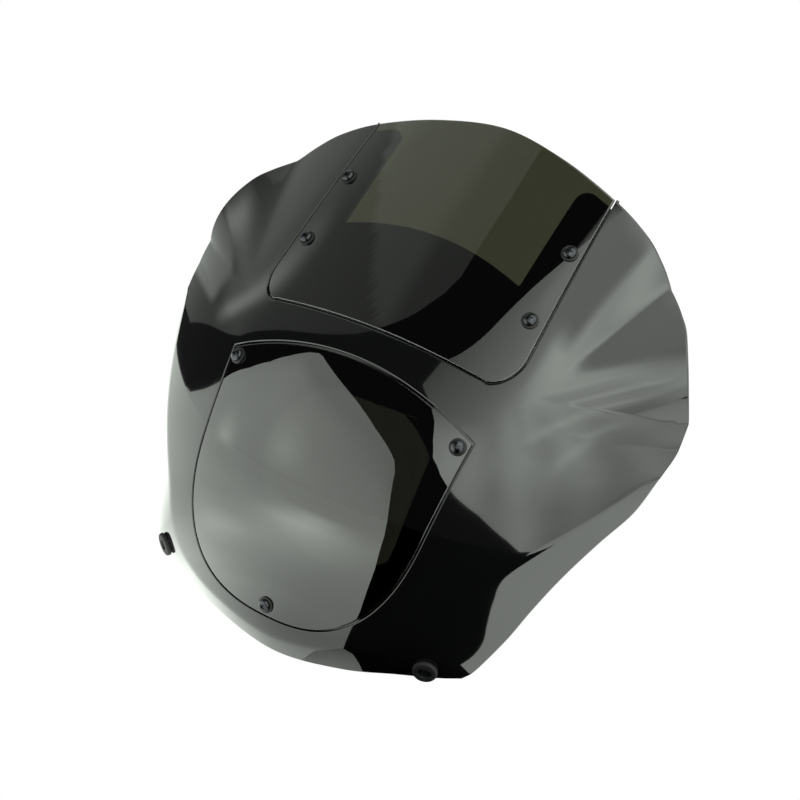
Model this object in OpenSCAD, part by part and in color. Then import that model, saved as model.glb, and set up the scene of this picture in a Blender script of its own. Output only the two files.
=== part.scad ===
// Motorcycle headlamp fairing with a smoked windscreen and lamp cover.
// Millimetres. X runs across, -Y points forward and +Z up. The origin is the
// centre of the headlamp opening. Every sheet follows one front surface, given as
// a depth in Y for each place in its own front view (X, Z), and the whole front
// then leans back by one angle, with which the headlamp opening stands upright.

/* [Front surface] */
// Sideways bow of the dome, as the quadratic term of its cross-section
bow = 0.00123; // [0.0009:0.00001:0.0016]
// Extra sideways bow towards the edges, in millionths of the quartic term
bow_edge = 0.0195; // [0.01:0.0005:0.03]
// How sharply the ears turn out of the valley beside the dome
valley_kink = 0.0095; // [0.004:0.0005:0.012]
// Height at which the valley starts above the lamp cover
valley_start = 106; // [95:1:120]
// Curvature of the ears beyond the valley
ear_curve = 0.0026; // [0.001:0.0001:0.0035]

/* [Sheets] */
// Wall of the moulded shell
shell_t = 3; // [2:0.1:4]
// Thickness of the windscreen and the lamp cover
panel_t = 3; // [2:0.1:3]
// Gap between a panel's edge and the shell
gap = 1.2; // [0.6:0.1:2]
// Clearance between a panel's back and its flange
seat_gap = 0.5; // [0.3:0.1:0.8]
// Width of the wall that carries each sunk flange
wall_w = 3; // [2:0.5:5]

/* [Windscreen] */
// Half of the windscreen's width at its top corners
screen_top = 105.7; // [100:0.1:108]
// Half of the windscreen's width at its lower corners
screen_low = 112.9; // [109:0.1:118]
// Height of the windscreen's lower edge at the middle
screen_sill = 118; // [114:0.5:122]
// How far the lower edge drops towards the corners
screen_drop = 9; // [4:0.5:14]
// Radius of the lower corners
screen_r = 17; // [8:1:24]
// Half of the width of the opening behind the windscreen
window_w = 80; // [70:1:88]
// Height of that opening's lower edge at the middle
window_sill = 181; // [150:1:190]
// Distance from the shell's upper edge to the ends of the screw flanges
window_top = 6; // [4:0.5:12]

/* [Lamp cover] */
// Height of the cover's upper edge at the middle
cover_top = 97; // [94:0.5:100]
// Radius of that upper edge
cover_top_r = 229; // [200:1:260]
// Half of the cover's width at the height where the sides turn in
cover_w = 101; // [96:0.5:104]
// Height where the sides turn in
cover_turn = 5; // [0:1:15]
// Distance from there down to the cover's lowest point
cover_drop = 95.4; // [88:0.2:96]
// Squareness of the cover's lower end, where 2 is an ellipse
cover_square = 2.5; // [2:0.1:3]
// Half of the width of the opening in the cover's flange
mouth_w = 84.5; // [82:0.5:86]
// Height of that opening's upper edge
mouth_top = 76.5; // [74:0.5:78]
// Height of that opening's lower edge
mouth_low = -70.5; // [-71:0.5:-68]

/* [Headlamp well] */
// Width of the oval headlamp opening
lamp_w = 151.4; // [144:0.1:152]
// Height of that opening
lamp_h = 129.8; // [122:0.1:131]
// Width of the flat ring round that opening
lamp_ring = 8; // [5:0.5:9]
// Angle by which the front leans back against that opening
lean = 15; // [12:0.5:18]
// Wall of the well
well_t = 3; // [2:0.1:4]

/* [Fasteners] */
// Diameter of the screws
screw_d = 5; // [4:0.5:5]
// Diameter of a screw's pan head
head_d = 9.6; // [8:0.1:11]
// Height of a screw's pan head
head_h = 3.8; // [3:0.1:4.5]
// Diameter of the washer under the head
washer_d = 12.6; // [11:0.1:15]
// Thickness of that washer
washer_t = 1.2; // [0.8:0.1:2]
// Width of the lock nut across its flats
nut_w = 8; // [7:0.5:9]
// Height of the lock nut
nut_h = 5; // [4:0.5:6]
// Length of the slots that the screws pass in the shell
slot_l = 2; // [1:0.5:4]

/* [Mounting grommets] */
// Diameter of a grommet's flanges
grommet_d = 18; // [17:0.5:20]
// Thickness of each flange
grommet_flange = 3.6; // [2.5:0.1:4]
// Diameter of the hole in the shell
grommet_hole = 13.5; // [12:0.5:15]
// Outer diameter of the steel sleeve
sleeve_d = 10; // [9:0.1:11]
// Bore of the steel sleeve
sleeve_bore = 8.2; // [6.4:0.1:8.6]
// Diameter of the sleeve's collar
sleeve_collar = 15; // [13:0.5:18]
// Distance of the grommets from the lower edge, as a part of the flank's width
grommet_in = 0.25; // [0.24:0.01:0.34]

/* [Hidden] */
SIDES = ["left", "right"];
SCREEN_SCREWS = ["upper_left", "upper_right", "lower_left", "lower_right"];
COVER_SCREWS = ["left", "right", "bottom"];

// Profile of the front on the centreline, as [Z, Y] from the chin to the top
PROFILE = [[-131, -53], [-108, -65], [-92, -70.3], [-75, -70.8], [-35, -66.2], [7, -55],
    [42, -40.5], [72, -26], [92, -15], [110, 0.5], [150, 35.8], [200, 82], [254, 136]];

// Edge of the shell in runs between its corners: top, ear, flank and chin.
// Each row is [X, Z, crease, turn]: the crease lies on the line to the hub at
// that part of its length, and the edge turns that far back from the front surface.
HUB = [0, 40];
RUNS = [
    [[0, 254, 0.96, 0], [56, 246, 0.96, 0], [106, 230, 0.96, 0], [138, 213.5, 0.96, 0],
     [157, 198, 0.96, 0], [170.5, 183.5, 0.96, 0]],
    [[170.5, 183.5, 0.96, 0], [186, 173, 0.96, 0], [198, 162, 0.96, 0], [211, 140, 0.96, 0],
     [219, 115, 0.96, 0], [221.5, 88, 0.97, 0], [219, 70, 0.98, 0]],
    [[219, 70, 0.98, 0], [211, 43, 0.934, 8], [199, 20, 0.907, 10], [185, -8, 0.868, 14],
     [173, -35, 0.82, 18], [163, -60, 0.78, 19], [151, -85, 0.765, 14], [144, -93, 0.769, 11]],
    [[144, -93, 0.769, 11], [128, -97, 0.81, 10], [100, -103, 0.866, 9],
     [60, -114, 0.89, 6], [0, -124, 0.90, 4]]
];
TOP_ROWS = 2;         // rows of the first run that the windscreen's top edge follows
STEPS = 2;            // points for each row of a run
RINGS = 9;            // rings from the hub to the crease
FLANK_RINGS = 3;      // rings from the crease to the edge
PANEL_RINGS = 6;      // rings of a panel, from its middle to its outline
VALLEY_TOP = [170, 183.5];
VALLEY_SLOPE = 0.49;
VALLEY_FOOT = 115;    // the valley stays at this X below the cover's corner
EAR_FADE = [168, 80]; // the ears' curvature is gone at this height, and full this far below
FLANGE_D = panel_t + seat_gap;
STACK = FLANGE_D + shell_t;
CUT = 8;              // how far a cutter stands out in front of the surface
TRAY_D = 0.8;         // the flanges' walls start this far below the surface, within the skin
LEDGE = 1;            // the well's wall starts this far behind the edge of its flange
NUT_GAP = 0.8;        // the flange is curved and a nut's face is flat
SEAT = 0.5;           // clearance round a grommet's flange in its flat seat

SCREEN_XZ = [[-99.5, 192.5], [99.5, 192.5], [-100.5, 148.8], [100.5, 148.8]];
COVER_XZ = [[-99.5, 66.3], [99.5, 66.3], [0, -81.5]];
LAMP_AT = [0, 6.2, 0.2];  // centre of the headlamp opening behind the front surface

// Curves
// Value on the smooth curve from b to c, with neighbours a and d, at t from 0 to 1
function curve(a, b, c, d, t) =
    0.5 * (2 * b + (c - a) * t + (2 * a - 5 * b + 4 * c - d) * t * t
        + (3 * b - a - 3 * c + d) * t * t * t);

// Slope of the profile at its point i
function tangent(i) =
    let (n = len(PROFILE) - 1, a = PROFILE[max(0, i - 1)], b = PROFILE[min(n, i + 1)])
    (b[1] - a[1]) / (b[0] - a[0]);

// Depth of the centreline at height z, straight beyond the ends
function profile(z, i = 0) =
    let (n = len(PROFILE) - 1)
    z < PROFILE[0][0] ? PROFILE[0][1] + tangent(0) * (z - PROFILE[0][0]) :
    z > PROFILE[n][0] ? PROFILE[n][1] + tangent(n) * (z - PROFILE[n][0]) :
    z > PROFILE[i + 1][0] ? profile(z, i + 1) :
    let (p = PROFILE[i], q = PROFILE[i + 1], h = q[0] - p[0], t = (z - p[0]) / h)
    (2 * t * t * t - 3 * t * t + 1) * p[1] + (t * t * t - 2 * t * t + t) * h * tangent(i)
        + (3 * t * t - 2 * t * t * t) * q[1] + (t * t * t - t * t) * h * tangent(i + 1);

// Front surface
function valley_x(z) = max(VALLEY_FOOT, VALLEY_TOP[0] - VALLEY_SLOPE * (VALLEY_TOP[1] - z));
function clamp(v) = min(1, max(0, v));
function depth(x, z) =
    let (quartic = bow_edge * 1e-6, m = min(abs(x), valley_x(z)), u = abs(x) - m,
        slope = 2 * bow * m + 4 * quartic * m * m * m - valley_kink * max(0, z - valley_start),
        bend = ear_curve * clamp((EAR_FADE[0] - z) / EAR_FADE[1]))
    profile(z) + bow * m * m + quartic * m * m * m * m + slope * u + bend * u * u;

function unit(v) = v / norm(v);
function normal(x, z, e = 0.5) =
    unit([(depth(x + e, z) - depth(x - e, z)) / (2 * e), -1,
        (depth(x, z + e) - depth(x, z - e)) / (2 * e)]);
// Point on the surface at (x, z), sunk by d along its normal
function on_front(x, z, d = 0) = [x, depth(x, z), z] - d * normal(x, z);

// Edge of the shell
function mirror_x(r) = [-r[0], r[1], r[2], r[3]];
function run_rows(k) =
    let (r = RUNS[k], n = len(r) - 1, last = len(RUNS) - 1,
        q = concat([k == 0 ? mirror_x(r[1]) : 2 * r[0] - r[1]], r,
            [k == last ? mirror_x(r[n - 1]) : 2 * r[n] - r[n - 1]]))
    [for (i = [1:n], j = [0:STEPS - 1]) curve(q[i - 1], q[i], q[i + 1], q[i + 2], j / STEPS)];
HALF_EDGE = concat([for (k = [0:len(RUNS) - 1]) each run_rows(k)], [RUNS[3][4]]);
EDGE = concat(HALF_EDGE, [for (i = [len(HALF_EDGE) - 2:-1:1]) mirror_x(HALF_EDGE[i])]);

// Point of the shell on one line from the hub: k runs over the rings
function flank_point(row, t) =
    let (rim = [row[0], row[1]], c = HUB + row[2] * (rim - HUB), p = c + t * (rim - c))
    [p[0], depth(p[0], p[1]) + t * row[3], p[1]];
function shell_point(row, k) =
    k > RINGS ? flank_point(row, (k - RINGS) / FLANK_RINGS) :
    let (p = HUB + k / RINGS * row[2] * ([row[0], row[1]] - HUB)) [p[0], depth(p[0], p[1]), p[1]];
ALL_RINGS = RINGS + FLANK_RINGS;
GRID = [for (row = EDGE) [for (k = [0:ALL_RINGS]) shell_point(row, k)]];

function grid_normal(i, k) =
    let (n = len(EDGE), a = GRID[(i + 1) % n][k] - GRID[(i + n - 1) % n][k],
        b = GRID[i][min(ALL_RINGS, k + 1)] - GRID[i][k - 1])
    unit(cross(a, b));

// A closed sheet from two stacks of rings, each ring a closed list of points
// round a hub point; front and back hold the hub first and then the rings.
module sheet(front_hub, front, back_hub, back) {
    n = len(front[0]);
    m = len(front);
    back_at = 1 + m * n;
    ring = function (base, k, i) base + 1 + k * n + i % n;
    points = concat([front_hub], [for (r = front) each r], [back_hub], [for (r = back) each r]);
    fans = [for (i = [0:n - 1]) each [
        [0, ring(0, 0, i), ring(0, 0, i + 1)],
        [back_at, ring(back_at, 0, i + 1), ring(back_at, 0, i)],
        [ring(0, m - 1, i), ring(back_at, m - 1, i), ring(0, m - 1, i + 1)],
        [ring(0, m - 1, i + 1), ring(back_at, m - 1, i), ring(back_at, m - 1, i + 1)]]];
    bands = m < 2 ? [] : [for (k = [0:m - 2], i = [0:n - 1]) each [
        [ring(0, k, i), ring(0, k + 1, i), ring(0, k, i + 1)],
        [ring(0, k, i + 1), ring(0, k + 1, i), ring(0, k + 1, i + 1)],
        [ring(back_at, k, i + 1), ring(back_at, k + 1, i), ring(back_at, k, i)],
        [ring(back_at, k + 1, i + 1), ring(back_at, k + 1, i), ring(back_at, k, i + 1)]]];
    polyhedron(points, concat(fans, bands));
}

// The whole moulded skin, without its openings
module skin() {
    n = len(EDGE);
    hub_n = normal(HUB[0], HUB[1]);
    hub = [HUB[0], depth(HUB[0], HUB[1]), HUB[1]];
    sheet(hub, [for (k = [1:ALL_RINGS]) [for (i = [0:n - 1]) GRID[i][k]]],
        hub - shell_t * hub_n,
        [for (k = [1:ALL_RINGS]) [for (i = [0:n - 1]) GRID[i][k] - shell_t * grid_normal(i, k)]]);
}

// A sheet on the front surface within an outline, from depth d0 to depth d1
module panel(outline, middle, d0, d1) {
    rings = function (d) [for (k = [1:PANEL_RINGS]) [for (p = outline)
        let (q = middle + k / PANEL_RINGS * (p - middle)) on_front(q[0], q[1], d)]];
    sheet(on_front(middle[0], middle[1], d0), rings(d0),
        on_front(middle[0], middle[1], d1), rings(d1));
}

// Outlines in the front view, clockwise from the top middle and grown by g
function both_halves(half) =
    concat(half, [for (i = [len(half) - 1:-1:0]) if (half[i][0] > 0.01) [-half[i][0], half[i][1]]]);
function spread(a, b, n) = [for (i = [0:n]) a + i / n * (b - a)];

SCREEN_MIDDLE = [0, 178];
TOP_EDGE = [for (i = [0:TOP_ROWS * STEPS]) [HALF_EDGE[i][0], HALF_EDGE[i][1]]];
function screen_outline(g, above = 0) =
    let (r = screen_r + g, side = screen_low + g,
        corner = [side - r, screen_sill - screen_drop - g + r - 0.5])
    both_halves(concat(
        [for (p = TOP_EDGE) [p[0] * (screen_top + g) / TOP_EDGE[len(TOP_EDGE) - 1][0], p[1] + above]],
        [for (p = spread([screen_top + g, 230], [side, corner[1]], 6)) if (p[1] < 229) p],
        [for (a = [-22.5:-22.5:-90]) corner + r * [cos(a), sin(a)]],
        [for (x = spread(corner[0] - 12, 0, 5)) [x, screen_sill - g - screen_drop * pow(x / corner[0], 2)]]));

COVER_MIDDLE = [0, 12];
function cover_half_width(z, g) =
    let (q = max(0, (cover_turn - z) / (cover_drop + g)))
    (cover_w + g + 0.1 * (z - cover_turn)) * pow(max(0, 1 - pow(q, cover_square)), 1 / cover_square);
function cover_outline(g) =
    let (r = cover_top_r + g, corner = [107.5 + 1.06 * g, 70.2 + 0.57 * g],
        low = cover_turn - cover_drop - g)
    both_halves(concat(
        [for (x = spread(0, corner[0], 7)) [x, cover_top - cover_top_r + sqrt(r * r - x * x)]],
        [for (z = spread(corner[1], cover_turn, 5)) if (z < corner[1]) [cover_half_width(z, g), z]],
        [for (a = [10:10:90]) let (z = cover_turn + (low - cover_turn) * sin(a)) [cover_half_width(z, g), z]]));

// Opening in the cover's flange: a low arch on round shoulders over a blunt oval
MOUTH_R = 24;
function mouth_outline(g) =
    let (w = mouth_w + g, r = MOUTH_R + g, top = mouth_top + g, low = mouth_low - g, turn = cover_turn)
    both_halves(concat(
        [for (x = spread(0, w - r, 4)) [x, top]],
        [for (a = [72:-18:0]) [w - r + r * cos(a), top - r + r * sin(a)]],
        [for (z = spread(top - r, turn, 3)) if (z < top - r) [w, z]],
        [for (a = [9:9:90]) let (q = pow(sin(a), 0.9)) [w * pow(1 - pow(q, 2.5), 0.4), turn + (low - turn) * q]]));

// Opening behind the windscreen: straight sides and an arched sill, open at the top
function window_outline() =
    both_halves(concat(
        [for (x = spread(0, window_w, 4)) [x, 290]],
        [for (z = spread(262, window_sill - 13, 6)) [window_w, z]],
        [for (x = spread(window_w - 4, 0, 6)) [x, window_sill - 14 * pow(x / window_w, 2)]]));

// Places a child on the front surface with +Z along the outward normal
module on_surface(x, z, d = 0) {
    n = normal(x, z);
    translate(on_front(x, z, d)) rotate([0, acos(n[2]), atan2(n[1], n[0])]) children();
}

// Place of a grommet in the flank beside the lower corner
CHIN = RUNS[3];
GROMMET_AT = flank_point(CHIN[1], 1 - grommet_in);
GROMMET_AXIS = let (a = flank_point(CHIN[1], 1) - flank_point(CHIN[1], 0),
    b = flank_point(CHIN[2], 1 - grommet_in) - flank_point(CHIN[0], 1 - grommet_in))
    unit(cross(b, a));
module on_flank(side) {
    s = side == "left" ? -1 : 1;
    p = GROMMET_AT;
    n = GROMMET_AXIS;
    translate([s * p[0], p[1], p[2]]) rotate([0, acos(n[2]), atan2(n[1], s * n[0])]) children();
}

// The well that leads from the cover's flange back to the headlamp opening, which
// lies in a plane of its own
module headlamp_well() {
    mouth = mouth_outline(LEDGE);
    outer = mouth_outline(LEDGE + well_t);
    n = len(mouth);
    up = [0, sin(lean), cos(lean)];
    back = [0, cos(lean), -sin(lean)];
    oval = function (grow, deep) [for (p = mouth)
        let (a = atan2(p[1] / mouth_top, p[0] / mouth_w))
        LAMP_AT + (lamp_w / 2 + grow) * cos(a) * [1, 0, 0] + (lamp_h / 2 + grow) * sin(a) * up
            + deep * back];
    rings = [[for (p = mouth) on_front(p[0], p[1], FLANGE_D + 1.2)],
        oval(lamp_ring, -well_t), oval(0, -well_t), oval(0, 0), oval(lamp_ring + well_t, 0),
        [for (p = outer) on_front(p[0], p[1], FLANGE_D + 1.4)]];
    m = len(rings);
    polyhedron([for (r = rings) each r], [for (k = [0:m - 1], i = [0:n - 1]) each [
        [k * n + i, k * n + (i + 1) % n, (k + 1) % m * n + i],
        [k * n + (i + 1) % n, (k + 1) % m * n + (i + 1) % n, (k + 1) % m * n + i]]]);
}

module slot(x, z) {
    on_surface(x, z) hull() for (s = [-1, 1])
        translate([s * slot_l / 2, 0, -STACK - 3]) cylinder(d = screw_d + 0.6, h = STACK + 6, $fn = 24);
}

module fairing_shell() {
    color([0.03, 0.03, 0.035]) difference() {
        union() {
            difference() {
                union() {
                    skin();
                    panel(screen_outline(gap + wall_w, -window_top), SCREEN_MIDDLE, TRAY_D, STACK);
                    panel(cover_outline(gap + wall_w), COVER_MIDDLE, TRAY_D, STACK);
                }
                panel(screen_outline(gap, 30), SCREEN_MIDDLE, -CUT, FLANGE_D);
                panel(cover_outline(gap), COVER_MIDDLE, -CUT, FLANGE_D);
                panel(window_outline(), SCREEN_MIDDLE, -CUT, STACK + 4);
                panel(mouth_outline(0), COVER_MIDDLE, -CUT, STACK + 4);
            }
            headlamp_well();
        }
        for (p = concat(SCREEN_XZ, COVER_XZ)) slot(p[0], p[1]);
        for (s = SIDES) on_flank(s) {
            hull() for (z = [-shell_t - 4, 4])
                translate([0, 0, z]) cylinder(d = grommet_hole, h = 0.1, $fn = 32);
            for (z = [0, -shell_t - CUT])
                translate([0, 0, z]) cylinder(d = grommet_d + 2 * SEAT, h = CUT, $fn = 48);
        }
    }
}

module bores(places) {
    for (p = places) on_surface(p[0], p[1]) translate([0, 0, -panel_t - 3])
        cylinder(d = screw_d + 1, h = panel_t + 6, $fn = 32);
}

module windscreen() {
    color([0.12, 0.12, 0.1, 0.6]) difference() {
        panel(screen_outline(0), SCREEN_MIDDLE, 0, panel_t);
        bores(SCREEN_XZ);
    }
}

module headlamp_lens() {
    color([0.14, 0.14, 0.12, 0.6]) difference() {
        panel(cover_outline(0), COVER_MIDDLE, 0, panel_t);
        bores(COVER_XZ);
    }
}

// Pan head screw with a cross recess, its seat at the top of the washer
module pan_screw() {
    r = screw_d / 2;
    crown = head_h * 0.45;
    dome = (pow(head_d / 2, 2) + crown * crown) / (2 * crown);
    shank = washer_t + STACK + NUT_GAP + nut_h + 2;
    color([0.05, 0.05, 0.05]) translate([0, 0, washer_t]) difference() {
        rotate_extrude($fn = 48) {
            intersection() {
                translate([0, head_h - dome]) circle(r = dome, $fn = 160);
                square([head_d / 2, head_h]);
            }
            polygon([[0, -shank], [r - 0.6, -shank], [r, -shank + 0.6], [r, 0.01], [0, 0.01]]);
        }
        for (a = [0, 90]) rotate(a) translate([-2.6, -0.6, head_h - 2]) cube([5.2, 1.2, 3]);
    }
}

module plain_washer() {
    edge = 0.3;
    color([0.07, 0.07, 0.07]) rotate_extrude($fn = 48) polygon([
        [screw_d / 2 + 0.15, 0], [washer_d / 2, 0], [washer_d / 2, washer_t - edge],
        [washer_d / 2 - edge, washer_t], [screw_d / 2 + 0.15, washer_t]]);
}

// Lock nut with a round collar, its face towards the flange
module lock_nut() {
    collar = nut_h * 0.3;
    color([0.55, 0.56, 0.58]) translate([0, 0, -STACK - NUT_GAP - nut_h]) difference() {
        union() {
            translate([0, 0, collar]) cylinder(d = nut_w / cos(30), h = nut_h - collar, $fn = 6);
            cylinder(d = nut_w * 0.94, h = collar + 0.01, $fn = 48);
        }
        translate([0, 0, -1]) cylinder(d = screw_d + 0.1, h = nut_h + 2, $fn = 48);
    }
}

SLEEVE_L = 2 * grommet_flange + shell_t + 0.4;
module grommet() {
    neck = shell_t + 0.4;
    f = grommet_flange;
    soft = 1.2;
    r = grommet_d / 2;
    color([0.1, 0.1, 0.1]) translate([0, 0, -shell_t - 0.2]) rotate_extrude($fn = 48) polygon([
        [sleeve_d / 2, -f], [r - soft, -f], [r, -f + soft], [r, 0], [grommet_hole / 2 - 0.1, 0],
        [grommet_hole / 2 - 0.1, neck], [r, neck], [r, neck + f - soft], [r - soft, neck + f],
        [sleeve_d / 2, neck + f]]);
}

module sleeve() {
    collar_t = 1.5;
    low = -shell_t - 0.2 - grommet_flange;
    color([0.6, 0.61, 0.63]) rotate_extrude($fn = 48) polygon([
        [sleeve_bore / 2, low - collar_t], [sleeve_collar / 2, low - collar_t],
        [sleeve_collar / 2, low], [sleeve_d / 2 - 0.02, low],
        [sleeve_d / 2 - 0.02, low + SLEEVE_L], [sleeve_bore / 2, low + SLEEVE_L]]);
}

// One piece of the fastening at a screw place
module fastening(kind) {
    if (kind == "screw") pan_screw();
    if (kind == "washer") plain_washer();
    if (kind == "nut") lock_nut();
}

// Puts the front in its place as fitted, with the headlamp opening upright at the origin
module fitted() { rotate([lean, 0, 0]) translate(-LAMP_AT) children(); }

fitted() fairing_shell();
fitted() windscreen();
fitted() headlamp_lens();
for (i = [0:len(SCREEN_SCREWS) - 1], kind = ["screw", "washer", "nut"])
    fitted() on_surface(SCREEN_XZ[i][0], SCREEN_XZ[i][1]) fastening(kind);
for (i = [0:len(COVER_SCREWS) - 1], kind = ["screw", "washer", "nut"])
    fitted() on_surface(COVER_XZ[i][0], COVER_XZ[i][1]) fastening(kind);
for (s = SIDES) fitted() on_flank(s) grommet();
for (s = SIDES) fitted() on_flank(s) sleeve();
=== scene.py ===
"""Dressed model of a motorcycle headlamp fairing with a smoked windscreen and lamp cover.

Every sheet follows one front surface, worked out in millimetres in the front's own view and
then leant back and scaled into the frame of the CAD model by fitted().
"""
import math

import bmesh
import bpy
import numpy as np
from mathutils import Matrix, Vector


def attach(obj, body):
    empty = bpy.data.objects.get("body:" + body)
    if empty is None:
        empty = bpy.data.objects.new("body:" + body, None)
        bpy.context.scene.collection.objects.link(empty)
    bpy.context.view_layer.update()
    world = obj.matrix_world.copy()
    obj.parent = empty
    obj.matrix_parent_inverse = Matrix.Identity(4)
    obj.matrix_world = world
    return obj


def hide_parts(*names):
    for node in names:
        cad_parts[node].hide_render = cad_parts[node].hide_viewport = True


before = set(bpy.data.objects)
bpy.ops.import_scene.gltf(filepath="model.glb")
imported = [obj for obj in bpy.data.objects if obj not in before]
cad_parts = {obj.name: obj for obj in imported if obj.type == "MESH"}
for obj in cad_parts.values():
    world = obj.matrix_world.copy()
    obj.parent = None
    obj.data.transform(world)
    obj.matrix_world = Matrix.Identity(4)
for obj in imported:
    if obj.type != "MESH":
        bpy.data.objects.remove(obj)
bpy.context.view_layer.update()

bl_info = {
    "name": "Headlamp Fairing",
    "version": (1, 0, 0),
    "blender": (4, 5, 0),
    "location": "3D View > Sidebar > Fairing",
    "description": "Gloss black headlamp fairing with smoked panels, its fasteners and a studio",
    "category": "Object",
}

MM = 0.001
LEAN = math.radians(15)             # how far the front leans back as fitted
LEAN_COS, LEAN_SIN = math.cos(LEAN), math.sin(LEAN)
LEAN_TURN = np.array([[1, 0, 0], [0, LEAN_COS, -LEAN_SIN], [0, LEAN_SIN, LEAN_COS]])
LAMP_AT = np.array([0, 6.2, 0.2])   # middle of the headlamp opening, the frame's origin
GROMMET_OUT = 0.75                  # how far out on the flank a grommet sits
HUB = np.array([0.0, 40.0])         # where the shell's rings shrink to, as (x, z)
SCREEN_MIDDLE = np.array([0.0, 178.0])
COVER_MIDDLE = np.array([0.0, 12.0])
SCREEN_XZ = [(-99.5, 192.5), (99.5, 192.5), (-100.5, 148.8), (100.5, 148.8)]
COVER_XZ = [(-99.5, 66.3), (99.5, 66.3), (0, -81.5)]
SCREEN_SCREWS = ["upper_left", "upper_right", "lower_left", "lower_right"]
COVER_SCREWS = ["left", "right", "bottom"]
WALL_W = 3.0        # wall that carries each sunk flange
CUT = 8.0           # how far a cutter stands out in front of the surface
NUT_GAP = 0.8       # between a flange's back and its nut
NUT_HIGH = 0.005    # height of a lock nut, in metres
RIM_ROLL = 1.1      # radius of the shell's outer edge

# The dome and the ears
BOW, QUARTIC = 0.00123, 1.95e-8     # curve of the dome across, over x**2 and x**4
VALLEY_TOP = (170, 183.5)           # where the valley leaves the shell's edge
VALLEY_LEAN, VALLEY_IN = 0.49, 115  # how it runs inwards below that, and how far in it ends
VALLEY_ROLL = 6.0                   # softness of the valley between the dome and the ears
FLARE, FLARE_FROM = 0.0095, 106     # how the ears' tops stand forward, above this height
EAR_BEND, BEND_TOP, BEND_RUN = 0.0026, 168, 80  # how they curve back, growing below the top

# Half sizes of the headlamp opening and of the mouth in the cover's flange
OVAL_HALF = (75.7, 64.9)
MOUTH_HALF = (84.5, 76.5)

# The cover: half width, height where its sides turn into the round end, and reach of that end
COVER_HALF, COVER_TURN, COVER_DROP = 101, 5, 95.4

# Profile of the front on the centreline as (Z, Y), from the chin to the top
PROFILE = np.array([(-131, -54.36), (-120, -59.49), (-109, -64.23), (-98, -67.95), (-87, -70.17),
                    (-76, -70.87), (-60, -69.98), (-40, -67.14), (-15, -61.62), (15, -51.97),
                    (45, -39.33), (70, -27.28), (90, -15.37), (105, -3.99), (120, 8.87),
                    (140, 26.75), (165, 49.37), (195, 77.29), (225, 106.73), (254, 135.99)])
# Edge of the shell in runs between its corners, each row (X, Z, crease, turn)
RUNS = [
    [(0, 254, .96, 0), (56, 246, .96, 0), (106, 230, .96, 0), (138, 213.5, .96, 0),
     (157, 198, .96, 0), (170.5, 183.5, .96, 0)],
    [(170.5, 183.5, .96, 0), (186, 173, .96, 0), (198, 162, .96, 0), (211, 140, .96, 0),
     (219, 115, .96, 0), (221.5, 88, .97, 0), (219, 70, .98, 0)],
    [(219, 70, .98, 0), (211, 43, .934, 8), (199, 20, .907, 10), (185, -8, .868, 14),
     (173, -35, .82, 18), (163, -60, .78, 19), (151, -85, .765, 14), (144, -93, .769, 11)],
    [(144, -93, .769, 11), (128, -97, .81, 10), (100, -103, .866, 9),
     (60, -114, .89, 6), (0, -124, .90, 4)],
]


# Front surface
def knot_bends(p):
    """Second derivative at each knot, which makes the profile one smooth curve."""
    n, h = len(p), np.diff(p[:, 0])
    grid, rise = np.zeros((n, n)), np.zeros(n)
    grid[0, :2] = grid[-1, -2:] = (1, -1)
    for i in range(1, n - 1):
        grid[i, i - 1:i + 2] = h[i - 1], 2 * (h[i - 1] + h[i]), h[i]
    slope = np.diff(p[:, 1]) / h
    rise[1:-1] = 6 * np.diff(slope)
    return np.linalg.solve(grid, rise)


BENDS = knot_bends(PROFILE)


def profile(z):
    """Depth of the centreline at height z."""
    zs, ys = PROFILE.T
    i = np.clip(np.searchsorted(zs, z) - 1, 0, len(zs) - 2)
    h, a, b = zs[i + 1] - zs[i], zs[i + 1] - z, z - zs[i]
    return ((BENDS[i] * a**3 + BENDS[i + 1] * b**3) / (6 * h)
            + (ys[i] / h - BENDS[i] * h / 6) * a + (ys[i + 1] / h - BENDS[i + 1] * h / 6) * b)


def depth(x, z):
    """Depth of the dome and the ears at (x, z), before the flanks turn back."""
    x, z = np.asarray(x, float), np.asarray(z, float)
    u = np.abs(x) - np.maximum(VALLEY_IN, VALLEY_TOP[0] - VALLEY_LEAN * (VALLEY_TOP[1] - z))
    u = 0.5 * (u + np.sqrt(u**2 + VALLEY_ROLL**2))
    m = np.abs(x) - u
    slope = 2 * BOW * m + 4 * QUARTIC * m**3 - FLARE * np.maximum(0, z - FLARE_FROM)
    bend = EAR_BEND * np.clip((BEND_TOP - z) / BEND_RUN, 0, 1)
    return profile(z) + BOW * m**2 + QUARTIC * m**4 + slope * u + bend * u**2


def curve_rows(k, steps):
    """One run of the edge as a smooth row of points, without its last one."""
    r = np.array(RUNS[k], float)
    mirror = np.array([-1, 1, 1, 1.0])
    first = r[1] * mirror if k == 0 else 2 * r[0] - r[1]
    last = r[-2] * mirror if k == len(RUNS) - 1 else 2 * r[-1] - r[-2]
    q = np.vstack([first, r, last])
    t = (np.arange(steps) / steps)[:, None]
    return np.vstack([0.5 * (2 * b + (c - a) * t + (2 * a - 5 * b + 4 * c - d) * t**2
                             + (3 * b - a - 3 * c + d) * t**3)
                      for a, b, c, d in zip(q, q[1:], q[2:], q[3:])])


EDGE_STEPS = 12
EDGE = np.vstack([curve_rows(k, EDGE_STEPS) for k in range(len(RUNS))] + [RUNS[-1][-1]])
EDGE_ANGLE = np.arctan2(EDGE[:, 0], EDGE[:, 1] - HUB[1])
EDGE_REACH = np.hypot(EDGE[:, 0], EDGE[:, 1] - HUB[1])
CREASE_ROLL = 0.05  # softness of the crease, as a part of the flank's width


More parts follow.
